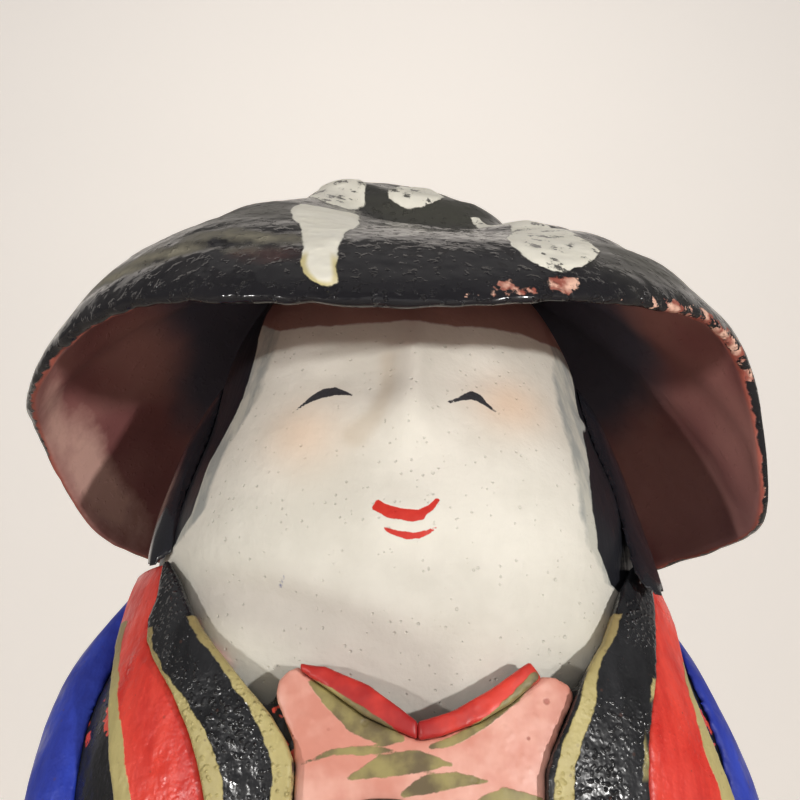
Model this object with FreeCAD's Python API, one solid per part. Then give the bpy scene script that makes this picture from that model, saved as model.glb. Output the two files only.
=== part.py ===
"""Papier-mache figure of a woman in layered robes under a wide domed hat.

Frame: +Z up, front of the figure towards -Y, origin on the resting surface under the middle of the hat.
Millimetres. Every piece is a separate closed solid, written to parts/NODE.step.
"""
import FreeCAD
import Part

import math
import os

Vector = FreeCAD.Vector

# ---- driving dimensions -------------------------------------------------------------------
PAPER = 1.6              # wall of the moulded paper shells
BASE_PAPER = 0.4         # sheet pasted over the bottom
BOARD = 4.0              # thickness of the base board
DISC = 2.0               # thickness of the cardboard discs
POST_RADIUS = 4.0        # wooden post through the whole figure
POST_TOP = 182.5
RING_POINTS = 28         # points on each section curve
LOFT_DEGREE = 3          # a low degree keeps the skin steady between uneven sections
SEAM_WIDTH = 9.0         # width of the paper strips that bridge the cuts
SEAM_PAPER = 0.5

HAT_RADIUS = 55.2
HAT_X = -1.0             # the hat was glued on slightly off the middle
HAT_WALL = 1.2
LINING = 0.4
CROWN_TOP = 186.0
CROWN_TILT = 0.13        # its top slopes down towards +X
CROWN_SHIFT = 1.5        # the crown is moulded off the middle of the brim
CROWN_RADIUS = 24.0      # where the dome ends and the raised crown begins

SHOULDER_DISC_Z = 86.0
HEAD_FLOOR_Z = 94.0
HEAD_TOP_Z = 172.0

PANEL_RISE = 1.0         # how far each paper layer stands proud of the robe
RED_RISE = 1.8
BLACK_RISE = 2.8
COLLAR_RISE = 2.0
CENTRE_X = 2.0           # the front opening is a little off the middle, as made by hand

# ---- section tables: height, half width, depth to the front, depth to the back -------------
ROBE = [
    (BASE_PAPER, 46.0, 34.0, 36.0),
    (14.0, 44.0, 31.5, 33.5),
    (42.0, 42.0, 28.5, 30.5),
    (72.0, 44.0, 29.5, 30.0),
    (90.0, 46.0, 30.5, 30.0),
    (100.0, 43.8, 30.2, 30.0),
    (107.0, 40.8, 29.5, 29.0),
    (112.0, 39.2, 28.5, 28.0),
    (119.0, 37.2, 26.0, 26.5),
    (126.0, 33.5, 22.0, 24.5),
]
HEAD = [
    (HEAD_FLOOR_Z, 24.0, 23.5, 20.0),
    (100.0, 28.5, 26.5, 22.5),
    (107.0, 32.0, 29.5, 25.0),
    (114.0, 34.5, 31.5, 28.0),
    (121.0, 35.3, 32.3, 30.0),
    (128.0, 33.8, 32.0, 31.0),
    (137.0, 30.5, 31.0, 31.5),
    (147.0, 28.2, 28.5, 30.0),
    (156.0, 25.8, 25.5, 27.0),
    (164.0, 21.5, 21.0, 22.5),
    (HEAD_TOP_Z, 13.5, 13.0, 14.0),
]
# height, centre x, centre y, half width, half depth; the two sleeves differ, as made by hand
SLEEVE = {
    -1: [
        (119.0, 36.5, -1.0, 2.6, 4.5),
        (113.0, 39.2, -1.0, 4.3, 7.0),
        (104.0, 41.0, -1.0, 7.2, 11.5),
        (90.0, 41.7, -1.0, 8.6, 16.5),
        (74.0, 42.0, -0.5, 9.0, 18.5),
        (58.0, 42.0, 0.0, 9.3, 19.0),
        (44.0, 41.5, 0.0, 8.6, 18.0),
        (37.0, 41.0, 0.0, 5.5, 13.0),
    ],
    1: [
        (119.0, 35.6, -1.0, 2.2, 4.5),
        (112.0, 37.0, -1.0, 2.8, 8.0),
        (104.0, 39.0, -1.0, 4.2, 13.0),
        (90.0, 41.0, -1.0, 7.2, 15.0),
        (74.0, 41.0, -0.5, 8.3, 18.5),
        (58.0, 41.2, 0.0, 8.8, 19.0),
        (44.0, 40.8, 0.0, 8.2, 18.0),
        (37.0, 40.5, 0.0, 5.2, 13.0),
    ],
}
SIDE_LOCK = {
    -1: [
        (150.0, 24.0, -5.0, 3.0, 6.0),
        (142.0, 27.0, -6.0, 4.0, 8.0),
        (131.0, 30.0, -7.5, 4.2, 9.0),
        (123.0, 31.2, -8.0, 4.3, 9.0),
        (117.0, 30.9, -8.5, 3.4, 6.0),
    ],
    1: [
        (150.0, 24.0, -5.0, 3.0, 6.0),
        (142.0, 26.8, -6.0, 4.0, 8.0),
        (131.0, 29.4, -7.5, 4.2, 9.0),
        (121.0, 30.9, -9.0, 4.3, 9.0),
        (112.0, 31.0, -11.0, 3.4, 7.0),
    ],
}
HAIR_TAIL = [
    (136.0, 0.0, 30.0, 17.0, 3.6),
    (120.0, 0.0, 29.5, 15.0, 4.8),
    (95.0, 0.0, 30.5, 12.0, 4.5),
    (70.0, 0.0, 30.5, 9.0, 4.2),
    (50.0, 0.0, 30.0, 5.0, 3.2),
]
KNOT = [
    (80.0, -1.8, -30.6, 3.6, 2.0),
    (82.2, -1.8, -30.6, 5.4, 3.4),
    (85.2, -1.8, -30.6, 6.0, 4.0),
    (88.2, -1.8, -30.6, 5.0, 3.4),
    (90.6, -1.8, -30.6, 2.6, 1.8),
]
# angle from the front in degrees (positive towards +X), height of the rim there
RIM_HEIGHT = [
    (-180, 129.0), (-150, 130.0), (-123, 131.6), (-107, 134.4), (-94, 140.5), (-80, 143.2),
    (-64, 142.5), (-48, 144.2), (-34, 144.3), (-20, 141.8), (-7, 140.0), (6, 139.6),
    (20, 141.9), (36, 144.5), (50, 145.6), (60, 143.5), (68, 137.5), (76, 130.5),
    (88, 128.2), (108, 129.0), (130, 128.7), (155, 128.7),
]
# height of the dome where it meets the crown
DOME_TOP = [(-180, 169.0), (-120, 171.5), (-78, 173.0), (-52, 176.0), (-30, 175.5), (-6, 169.0), (18, 168.0),
            (40, 171.5), (72, 169.5), (115, 168.0)]
# radius, share of the way from the rim's height to the dome's top
DOME = [
    (HAT_RADIUS, 0.0), (54.4, 0.10), (53.0, 0.20), (50.4, 0.33), (46.6, 0.47), (42.8, 0.58),
    (38.8, 0.68), (34.2, 0.79), (29.2, 0.90), (CROWN_RADIUS, 1.0),
]
# radius, share of the way from the dome's top to the apex
CROWN = [(20.5, 0.34), (17.0, 0.60), (12.5, 0.83), (7.5, 0.96), (2.5, 1.0)]


# ---- helpers ------------------------------------------------------------------------------
def closed_spline(points):
    curve = Part.BSplineCurve()
    curve.interpolate(Points=points, PeriodicFlag=True)
    return Part.Wire([curve.toShape()])


def section(z, half_width, front, back, power=2.25):
    """A rounded, slightly square outline in a level plane, deeper or shallower towards the back."""
    points = []
    for i in range(RING_POINTS):
        a = 2 * math.pi * i / RING_POINTS
        c, s = math.cos(a), math.sin(a)
        depth = back if s > 0 else front
        x = half_width * math.copysign(abs(c) ** (2 / power), c)
        y = depth * math.copysign(abs(s) ** (2 / power), s)
        points.append(Vector(x, y, z))
    return closed_spline(points)


def moulded(table, grow=0.0, low=None, high=None):
    """The solid inside a section table, its walls moved outwards by grow."""
    wires = [section(z, a + grow, f + grow, b + grow) for z, a, f, b in table]
    solid = Part.makeLoft(wires, True, False, False, LOFT_DEGREE)
    if low is not None or high is not None:
        bottom = low if low is not None else table[0][0] - 1
        top = high if high is not None else table[-1][0] + 1
        solid = solid.common(Part.makeBox(400, 400, top - bottom, Vector(-200, -200, bottom)))
    return solid


def ovals(table, side=1, grow=0.0):
    """A lofted limb through ovals, mirrored to either side."""
    wires = []
    for z, x, y, rx, ry in table:
        points = []
        for i in range(16):
            a = 2 * math.pi * i / 16
            points.append(Vector(side * (x + (rx + grow) * math.cos(a)), y + (ry + grow) * math.sin(a), z))
        if side < 0:
            points.reverse()
        wires.append(closed_spline(points))
    return Part.makeLoft(wires, True, False, False, LOFT_DEGREE)


def front_prism(points, y_near=-80.0, y_far=0.0, smooth=False):
    """A prism along Y whose outline is drawn in the front view, as (x, z) points."""
    ring = [Vector(x, y_near, z) for x, z in points]
    if smooth:
        wire = closed_spline(ring)
    else:
        wire = Part.makePolygon(ring + [ring[0]])
    return Part.Face(wire).extrude(Vector(0, y_far - y_near, 0))


def band(left, right):
    """Outline points of a strip between two edges, each given from the top down as (x, z)."""
    return list(left) + list(reversed(right))


def half_space(front):
    """A large box on the front or the back side of the seam plane y = 0."""
    return Part.makeBox(400, 200, 400, Vector(-200, -200 if front else 0, -100))


def side_space(left):
    return Part.makeBox(200, 400, 400, Vector(-200 if left else 0, -200, -100))


def spline_at(table, angle):
    """A smooth periodic value at an angle, through the table's values."""
    n = len(table)
    angles = [a for a, _ in table] + [table[0][0] + 360]
    while angle < angles[0]:
        angle += 360
    while angle >= angles[-1]:
        angle -= 360
    i = max(k for k in range(n) if angles[k] <= angle)
    v = [table[(i + k) % n][1] for k in (-1, 0, 1, 2)]
    t = (angle - angles[i]) / (angles[i + 1] - angles[i])
    return 0.5 * (2 * v[1] + (v[2] - v[0]) * t + (2 * v[0] - 5 * v[1] + 4 * v[2] - v[3]) * t * t
                  + (3 * v[1] - v[0] - 3 * v[2] + v[3]) * t ** 3)


def keep_solids(shape, smallest=1.0):
    """The closed solids of a result, without slivers."""
    solids = [s for s in shape.Solids if s.Volume > smallest]
    return solids[0] if len(solids) == 1 else Part.makeCompound(solids)


def write(name, shape):
    shape = keep_solids(shape)
    volume = sum(s.Volume for s in shape.Solids)
    valid = all(s.isValid() for s in shape.Solids)
    print(f"{name:22s} solids {len(shape.Solids)}  volume {volume:9.1f}  valid {valid}")
    shape.exportStep(f"parts/{name}.step")


# ---- hat ----------------------------------------------------------------------------------
def hat_profile(angle):
    """Points of the hat's outer surface along one meridian, rim first, as (radius, centre x, z)."""
    rim, top = spline_at(RIM_HEIGHT, angle), spline_at(DOME_TOP, angle)
    points = []
    for radius, share in DOME:
        shift = CROWN_SHIFT * (HAT_RADIUS - radius) / (HAT_RADIUS - CROWN_RADIUS)
        points.append((radius, HAT_X + shift, rim + (top - rim) * share))
    for radius, share in CROWN:
        tilt = CROWN_TILT * radius * share * math.sin(math.radians(angle))
        points.append((radius, HAT_X + CROWN_SHIFT, top + (CROWN_TOP - top) * share - tilt))
    return points


def hat_wires(depth):
    """The hat's section curves at a depth under its outer surface, rim first."""
    angles = [-180 + 360 * k / 36 for k in range(36)]
    rings = None
    for angle in angles:
        profile = hat_profile(angle)
        rings = rings or [[] for _ in profile]
        for i, (radius, shift, z) in enumerate(profile):
            before, after = profile[max(i - 1, 0)], profile[min(i + 1, len(profile) - 1)]
            dr, dz = after[0] - before[0], after[2] - before[2]
            length = math.hypot(dr, dz)
            r = radius - depth * dz / length if i < len(profile) - 1 else radius
            h = z + depth * dr / length if i < len(profile) - 1 else z - depth
            if i == 0:                       # the rim's edge stays level, so layers end together
                r, h = radius - depth, z
            a = math.radians(angle)
            rings[i].append(Vector(shift + r * math.sin(a), -r * math.cos(a), h))
    return [closed_spline(ring) for ring in rings]


def hat_layer(outer_depth, inner_depth):
    outer, inner = hat_wires(outer_depth), hat_wires(inner_depth)
    faces = Part.makeLoft(outer, False, False).Faces + Part.makeLoft(inner, False, False).Faces
    faces += Part.makeLoft([outer[0], inner[0]], False, True).Faces
    faces += [Part.Face(outer[-1]), Part.Face(inner[-1])]
    shell = Part.makeCompound(faces)
    shell.sewShape(0.01)
    solid = Part.Solid(shell.Shells[0])
    if solid.Volume < 0:
        solid.reverse()
    return solid


# ---- shared solids ------------------------------------------------------------------------
os.makedirs("parts", exist_ok=True)

robe_outer = moulded(ROBE)
robe_inner = moulded(ROBE, -PAPER)
head_outer = moulded(HEAD)
head_inner = moulded(HEAD, -PAPER)
post_hole = Part.makeCylinder(POST_RADIUS, 300, Vector(0, 0, -50))

# The neck opening: a V at the front, rising along the lapels to the shoulders.
NECKLINE = [(-31, 127), (-31, 119.5), (-28, 116), (-24.2, 109.8), (-20.6, 105.8), (-17.4, 102.2),
            (-15.2, 100), (-14.4, 102), (-14.2, 103.3), (-13.2, 104.4), (-11.6, 105),
            (-3.4, 101.6), (CENTRE_X, 98.6), (6, 99.6), (10.4, 102.2), (15.2, 105.3), (16.4, 103.6),
            (18.4, 103.8), (19.8, 103), (20.4, 102), (20.6, 101.4), (21.3, 103.5), (24.7, 108.3), (27.1, 113.6),
            (31, 119), (31, 127)]
neck_opening = front_prism(NECKLINE + [(31, 140), (-31, 140)])


# ---- robe shells --------------------------------------------------------------------------
def robe_shells():
    shell = robe_outer.cut(robe_inner).cut(head_outer)
    front = shell.common(half_space(True)).cut(neck_opening)
    write("robe_front_shell", front)
    write("robe_back_shell", shell.common(half_space(False)))


def seam_strips(name, inner_table, low, high):
    """Paper strips glued inside the shells over the two vertical cuts."""
    inner = moulded(inner_table, -PAPER, low, high)
    core = moulded(inner_table, -PAPER - SEAM_PAPER, low - 1, high + 1)
    ring = inner.cut(core)
    strip = Part.makeBox(400, SEAM_WIDTH, 400, Vector(-200, -SEAM_WIDTH / 2, -100))
    ring = ring.common(strip)
    write(f"{name}_left", ring.common(side_space(True)))
    write(f"{name}_right", ring.common(side_space(False)))


# ---- layers on the front of the robe ------------------------------------------------------
# Edges run from the shoulder down, as (x, z) in the front view, for the figure's two sides.
PANEL_EDGE = {-1: [(-14.2, 101), (-13.1, 98.6), (-12.1, 96.5), (-11.8, 94), (-11.9, 88), (-12.4, 60), (-14, 30),
                   (-15.5, 4)],
              1: [(20.2, 101), (18.8, 98.6), (17.5, 96), (16.4, 93.4), (16.1, 88), (16, 60), (17, 30), (18.5, 4)]}
BLACK_INNER = {-1: [(-30.6, 120), (-28, 116.4), (-26.6, 113.5), (-24.2, 109.8), (-20.6, 105.8), (-17.4, 102.2),
                    (-14.9, 99.6), (-13, 96.8)] + PANEL_EDGE[-1][3:],
               1: [(30.5, 119), (27.6, 114.4), (24.7, 108.3), (23.2, 106.4), (21.3, 103.5), (19.7, 100.2),
                   (18.5, 97.9), (17.3, 95.6)] + PANEL_EDGE[1][3:]}
BLACK_OUTER = {-1: [(-31.5, 120), (-31.3, 114.5), (-32, 111.9), (-31.7, 109.1), (-30.1, 106.4), (-27.2, 102.6),
                    (-24.4, 97.9), (-22.8, 94), (-21.8, 90.5), (-21.4, 86), (-22.2, 60), (-24.5, 30), (-26, 4)],
               1: [(33.4, 119), (33, 113.6), (32.1, 109), (31.2, 104.5), (29.9, 100.4), (29, 97),
                   (28.3, 92), (28, 86), (27.4, 60), (28, 30), (29.5, 4)]}
RED_OUTER = {-1: [(-37, 120), (-37.6, 114.5), (-37.9, 112), (-38, 110), (-37, 105), (-36, 100), (-35, 95.3),
                  (-33.4, 90.5), (-32.8, 86), (-32, 60), (-31.5, 30), (-33.5, 4)],
             1: [(34.2, 119), (35, 116.6), (36.2, 114), (36.8, 111.5), (36.8, 108), (37, 103.3), (37.9, 99.7),
                 (39.3, 95), (40.9, 90.5), (41.2, 84), (39, 60), (37, 30), (38, 4)]}


def on_robe(outline, rise):
    """A layer of the given rise on the robe's surface, inside an outline drawn in the front view."""
    layer = moulded(ROBE, rise).cut(robe_outer).cut(head_outer)
    return layer.common(front_prism(outline))


SASH_LOW, SASH_HIGH = 78.0, 87.0


def front_layers():
    panel = [(-14.4, 102), (-14.2, 103.3), (-13.2, 104.4), (-11.6, 105), (CENTRE_X, 97), (16, 104),
             (18.4, 103.8), (19.8, 103), (20.4, 102)]
    panel += list(PANEL_EDGE[1]) + list(reversed(PANEL_EDGE[-1]))
    collars = {
        -1: [(CENTRE_X, 98.6), (-3.4, 102.6), (-8.6, 104.8), (-11.6, 105.2), (-11.6, 104.4), (-8, 102), (-4, 99.2),
             (CENTRE_X, 96.6)],
        1: [(CENTRE_X, 98.6), (6, 99.8), (10.4, 102.2), (15.2, 105.4), (16.4, 103.6), (12.6, 100.6),
            (9, 98.6), (4.5, 97), (CENTRE_X, 96.6)],
    }
    room = Part.makeCompound([front_prism(outline) for outline in collars.values()])
    sash_room = Part.makeBox(400, 200, SASH_HIGH - SASH_LOW, Vector(-200, -200, SASH_LOW))
    pink = on_robe(panel, PANEL_RISE).cut(room)
    write("under_robe_panel", pink.cut(sash_room))
    for side, name in ((-1, "left"), (1, "right")):
        write(f"red_collar_{name}", on_robe(collars[side], COLLAR_RISE))
        black = on_robe(band(BLACK_INNER[side], BLACK_OUTER[side]), BLACK_RISE)
        write(f"black_lapel_{name}", black)
        red = on_robe(band(BLACK_OUTER[side], RED_OUTER[side]), RED_RISE)
        write(f"red_lapel_{name}", red.cut(sleeve_solid[side]))
    sash = [(-13, SASH_HIGH), (17, SASH_HIGH), (17, SASH_LOW), (-13, SASH_LOW)]
    black_room = front_prism(band(BLACK_INNER[-1], BLACK_OUTER[-1]))
    black_room = black_room.fuse(front_prism(band(BLACK_INNER[1], BLACK_OUTER[1])))
    knot = ovals(KNOT)
    write("sash_band", on_robe(sash, RED_RISE).cut(black_room).cut(knot))
    write("sash_knot", knot.cut(moulded(ROBE, PANEL_RISE)))


# ---- sleeves ------------------------------------------------------------------------------
def sleeve(side, name):
    hollow = ovals(SLEEVE[side][2:-1], side, -PAPER)
    write(f"sleeve_{name}", sleeve_solid[side].cut(robe_outer).cut(hollow))


# ---- head ---------------------------------------------------------------------------------
def head_shells():
    shell = head_outer.cut(head_inner)
    shell = shell.cut(moulded(HEAD, -PAPER, None, HEAD_FLOOR_Z + DISC)).cut(post_hole)
    write("face_shell", shell.common(half_space(True)))
    write("hair_shell", shell.common(half_space(False)))


def hair():
    write("side_lock_left", side_locks[-1])
    write("side_lock_right", side_locks[1])
    tail = ovals(HAIR_TAIL).cut(robe_outer).cut(head_outer)
    write("hair_tail", tail)


# ---- inside -------------------------------------------------------------------------------
def inner_disc(name, table, z, thickness):
    disc = moulded(table, -PAPER, z, z + thickness).cut(post_hole)
    write(name, disc)


def inside():
    sheet = moulded([(0.0, *ROBE[0][1:]), ROBE[0]])
    write("base_paper", sheet)
    write("centre_post", Part.makeCylinder(POST_RADIUS, POST_TOP - BASE_PAPER, Vector(0, 0, BASE_PAPER)))
    write("base_board", moulded(ROBE, -PAPER, BASE_PAPER, BASE_PAPER + BOARD).cut(post_hole))
    lump_radius, lump_height, floor = 21.0, 17.0, BASE_PAPER + BOARD
    profile = [Vector(POST_RADIUS, 0, floor), Vector(lump_radius, 0, floor)]
    dome = Part.Arc(profile[1], Vector(lump_radius * 0.74, 0, floor + lump_height * 0.72),
                    Vector(POST_RADIUS, 0, floor + lump_height))
    peak = Vector(POST_RADIUS, 0, floor + lump_height)
    edges = [Part.makeLine(*profile), dome.toShape(), Part.makeLine(peak, profile[0])]
    lump = Part.Face(Part.Wire(edges)).revolve(Vector(0, 0, 0), Vector(0, 0, 1), 360)
    write("clay_weight", lump)
    inner_disc("shoulder_disc", ROBE, SHOULDER_DISC_Z, DISC)
    inner_disc("head_floor_disc", HEAD, HEAD_FLOOR_Z, DISC)
    pad_radius, pad_top = 11.0, 180.0
    pad = Part.makeCylinder(pad_radius, pad_top - HEAD_TOP_Z, Vector(HAT_X + CROWN_SHIFT, 0, HEAD_TOP_Z))
    write("hat_pad", pad.cut(post_hole))


side_locks = {}
for mark in (-1, 1):
    side_locks[mark] = ovals(SIDE_LOCK[mark], mark).cut(head_outer).cut(moulded(ROBE, BLACK_RISE))
sleeve_solid = {mark: ovals(SLEEVE[mark], mark) for mark in (-1, 1)}

robe_shells()
seam_strips("robe_seam", ROBE, BASE_PAPER + BOARD, SHOULDER_DISC_Z)
sleeve(-1, "left")
sleeve(1, "right")
front_layers()
head_shells()
seam_strips("head_seam", HEAD, HEAD_FLOOR_Z + DISC, 160.0)
hair()
inside()
write("hat_shell", hat_layer(0.0, HAT_WALL))
write("hat_lining", hat_layer(HAT_WALL, HAT_WALL + LINING))
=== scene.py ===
# %% [markdown]
# # A papier-mache doll in a domed black hat
#
# The doll is a hollow figure of pasted paper: a body and a head formed on moulds, cut off in halves
# and rejoined, strips of paper laid on as lapels, and a wide hat glued on the head. Over the paper
# lies a thick ground of powdered shell and glue, then brush paint that pools, drips and chips. The
# CAD model is the frame. This lesson lays the handmade surface over it, piece by piece.

import math

import bmesh
import bpy
import numpy as np
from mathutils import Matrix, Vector
from mathutils.bvhtree import BVHTree


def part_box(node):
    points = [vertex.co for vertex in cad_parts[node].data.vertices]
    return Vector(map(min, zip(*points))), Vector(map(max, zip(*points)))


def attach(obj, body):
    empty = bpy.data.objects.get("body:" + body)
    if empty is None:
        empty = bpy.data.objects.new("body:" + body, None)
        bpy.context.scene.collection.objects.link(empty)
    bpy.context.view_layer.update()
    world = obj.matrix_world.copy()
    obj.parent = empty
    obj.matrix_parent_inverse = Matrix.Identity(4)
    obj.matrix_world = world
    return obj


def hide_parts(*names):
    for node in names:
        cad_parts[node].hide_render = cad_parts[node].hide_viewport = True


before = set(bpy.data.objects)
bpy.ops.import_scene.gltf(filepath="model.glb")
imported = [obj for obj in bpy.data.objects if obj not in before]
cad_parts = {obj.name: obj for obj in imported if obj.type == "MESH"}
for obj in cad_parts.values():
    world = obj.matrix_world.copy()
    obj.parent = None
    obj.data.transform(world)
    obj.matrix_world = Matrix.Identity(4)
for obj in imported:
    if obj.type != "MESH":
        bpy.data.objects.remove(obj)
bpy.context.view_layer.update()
MM = 0.001
print("frame nodes:", len(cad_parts))

# %% [markdown]
# ## Camera, room and light
#
# A small doll is usually looked at from close by and from below its face, so that the hat's underside
# shows. The camera stands at chest height and looks up 22 degrees. The room is a pale floor and a
# pale wall far enough back to walk round the doll. Two small lamps stand in front, one at each side
# and lower than the hat. They throw the brim's shadow on the forehead and the head's shadow into the
# hat. A faint broad lamp in front softens the shadows under the chin. A large dim lamp overhead and a
# lit wall fill the rest.

# %% Camera
UPWARD_LOOK = 22
camera_data = bpy.data.cameras.new("camera")
camera_data.lens = 45
camera_data.sensor_width = 36
camera_data.clip_start = 0.01
camera = bpy.data.objects.new("camera", camera_data)
bpy.context.scene.collection.objects.link(camera)
camera.location = (0, -0.150, 0.090)
camera.rotation_euler = (math.radians(90 + UPWARD_LOOK), 0, 0)
bpy.context.scene.camera = camera
print("camera at", tuple(camera.location))


# %% Colours and small node helpers
def colour(red, green, blue):
    """A display colour from 0 to 255, as the linear values that shaders take."""
    linear = [((c / 255 + 0.055) / 1.055) ** 2.4 if c > 10 else c / 3294.6 for c in (red, green, blue)]
    return (*linear, 1.0)


def node(tree, kind, inputs=None, **settings):
    """A node with its settings and inputs. An input takes a value or another node's socket."""
    made = tree.nodes.new(kind)
    for key, value in settings.items():
        setattr(made, key, value)
    for key, value in (inputs or {}).items():
        if isinstance(value, bpy.types.NodeSocket):
            tree.links.new(value, made.inputs[key])
        else:
            made.inputs[key].default_value = value
    return made


def calc(tree, operation, a, b=0.0, c=0.0, clamp=False):
    return node(tree, "ShaderNodeMath", {0: a, 1: b, 2: c}, operation=operation, use_clamp=clamp).outputs[0]


def times(tree, a, b):
    return calc(tree, "MULTIPLY", a, b)


def between(tree, value, low, high, to_low=0.0, to_high=1.0):
    """A smooth step from low to high."""
    inputs = {0: value, 1: low, 2: high, 3: to_low, 4: to_high}
    return node(tree, "ShaderNodeMapRange", inputs, interpolation_type="SMOOTHSTEP").outputs[0]


def blend(tree, factor, a, b):
    return node(tree, "ShaderNodeMix", {0: factor, 6: a, 7: b}, data_type="RGBA").outputs[2]


def blend_value(tree, factor, a, b):
    return node(tree, "ShaderNodeMix", {0: factor, 2: a, 3: b}, data_type="FLOAT").outputs[0]


def painted(tree, name):
    """The value that a piece carries under this name at each point."""
    return node(tree, "ShaderNodeAttribute", attribute_name=name).outputs["Fac"]


def grain(tree, vector, scale, detail=3.0, roughness=0.5):
    inputs = {"Vector": vector, "Scale": scale, "Detail": detail, "Roughness": roughness}
    return node(tree, "ShaderNodeTexNoise", inputs).outputs["Fac"]


def place(tree):
    """Where a point is on the object, in metres."""
    return node(tree, "ShaderNodeTexCoord").outputs["Object"]


def new_material(name):
    material = bpy.data.materials.new(name)
    material.use_nodes = True
    tree = material.node_tree
    return material, tree, tree.nodes["Principled BSDF"]


print("white of the face as the shader takes it:", [round(c, 2) for c in colour(226, 221, 205)])


# %% Floor, wall and lamps
def plain_material(name, rgb, rough):
    material, tree, shader = new_material(name)
    mottle = grain(tree, place(tree), 3.0, 2.0)
    tint = tuple(c * 0.96 for c in rgb[:3]) + (1.0,)
    tree.links.new(blend(tree, mottle, tint, rgb), shader.inputs["Base Color"])
    shader.inputs["Roughness"].default_value = rough
    return material


def plane(name, corners, material):
    mesh = bpy.data.meshes.new(name)
    mesh.from_pydata(corners, [], [(0, 1, 2, 3)])
    mesh.materials.append(material)
    made = bpy.data.objects.new(name, mesh)
    bpy.context.scene.collection.objects.link(made)
    return made


REACH, WALL_Y = 5, 2.2  # half the room's width and the wall's distance, in metres
room_paint = plain_material("room paint", colour(232, 226, 216), 0.9)
floor = plane("floor", [(-REACH, -REACH, 0), (REACH, -REACH, 0), (REACH, REACH, 0), (-REACH, REACH, 0)],
              room_paint)
wall_paint = plain_material("wall paint", colour(232, 226, 216), 0.9)
wall_glow = wall_paint.node_tree.nodes["Principled BSDF"].inputs
wall_glow["Emission Color"].default_value = colour(236, 230, 226)
wall_glow["Emission Strength"].default_value = 0.56
wall = plane("wall", [(-REACH, WALL_Y, 0), (REACH, WALL_Y, 0), (REACH, WALL_Y, REACH),
                      (-REACH, WALL_Y, REACH)], wall_paint)


WARM, NEAR_WHITE = (1.0, 0.965, 0.93), (1.0, 0.98, 0.955)


def lamp(name, where, towards, width, watts, tint):
    data = bpy.data.lights.new(name, "AREA")
    data.size = width
    data.energy = watts
    data.color = tint
    made = bpy.data.objects.new(name, data)
    made.location = where
    made.rotation_euler = (Vector(towards) - Vector(where)).to_track_quat("-Z", "Y").to_euler()
    bpy.context.scene.collection.objects.link(made)
    return made


lamp("right lamp", (0.30, -0.42, 0.066), (0, 0, 0.13), 0.02, 1.4, NEAR_WHITE)
lamp("left lamp", (-0.34, -0.38, 0.072), (0, 0, 0.13), 0.02, 0.75, NEAR_WHITE)
lamp("fill", (0.0, -0.55, 0.10), (0, 0, 0.12), 0.35, 0.28, NEAR_WHITE)
lamp("ceiling", (0.0, -0.6, 2.6), (0, 0, 0.1), 2.4, 3.2, NEAR_WHITE)
lamp("wall lamp", (0.0, 0.7, 1.9), (0, 2.2, 1.5), 1.6, 9.0, WARM)
world = bpy.data.worlds.new("room")
world.use_nodes = True
sky = world.node_tree.nodes["Background"].inputs
sky["Color"].default_value = colour(232, 226, 220)
sky["Strength"].default_value = 0.24
bpy.context.scene.world = world
bpy.context.scene.view_settings.view_transform = "Standard"

# %% [markdown]
# ## Effects that several paints share
#
# Brush paint never ends in a ruled line. Each painted area is stored on the piece as a distance to
# its edge in millimetres, less than zero inside, and one group turns that distance into a mask with a
# ragged edge. The other groups make pits in the ground, streaks left by the brush, the lumps of thick
# lacquer and a film of dust on upward faces that is also painted sheen. They are groups, so that every
# paint on the doll shares the same hand.


# %% The shared groups
def new_group(name, inputs, outputs):
    """An empty group with named float or vector sockets."""
    group = bpy.data.node_groups.new(name, "ShaderNodeTree")
    for label, value in inputs.items():
        kind = "NodeSocketVector" if label == "Vector" else "NodeSocketFloat"
        socket = group.interface.new_socket(label, in_out="INPUT", socket_type=kind)
        if value is not None:
            socket.default_value = value
    for label in outputs:
        group.interface.new_socket(label, in_out="OUTPUT", socket_type="NodeSocketFloat")
    return group, group.nodes.new("NodeGroupInput").outputs, group.nodes.new("NodeGroupOutput").inputs


def use(tree, group, output=0, **values):
    """Places a group and gives one of its outputs."""
    made = node(tree, "ShaderNodeGroup", node_tree=group)
    for label, value in values.items():
        label = label.replace("_", " ").capitalize() if label not in made.inputs else label
        if isinstance(value, bpy.types.NodeSocket):
            tree.links.new(value, made.inputs[label])
        else:
            made.inputs[label].default_value = value
    return made.outputs[output]


ragged_edge, given, out = new_group("ragged edge", {
    "Vector": None, "Distance": 0.0, "Wobble": 0.3, "Scale": 700.0, "Softness": 0.12}, ["Mask"])
rough_line = calc(ragged_edge, "SUBTRACT", grain(ragged_edge, given["Vector"], given["Scale"], 4.0, 0.6), 0.5)
moved = calc(ragged_edge, "MULTIPLY_ADD", rough_line, times(ragged_edge, given["Wobble"], 2.0),
             given["Distance"])
soft = given["Softness"]
mask = node(ragged_edge, "ShaderNodeMapRange", {
    0: moved, 1: times(ragged_edge, soft, -1.0), 2: soft, 3: 1.0, 4: 0.0}).outputs[0]
ragged_edge.links.new(mask, out["Mask"])


def ragged(tree, at, name, wobble, scale, softness):
    """A ragged mask of the painted area whose distance a piece carries under this name."""
    return use(tree, ragged_edge, Vector=at, Distance=painted(tree, name), Wobble=wobble, Scale=scale,
               Softness=softness)


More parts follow.
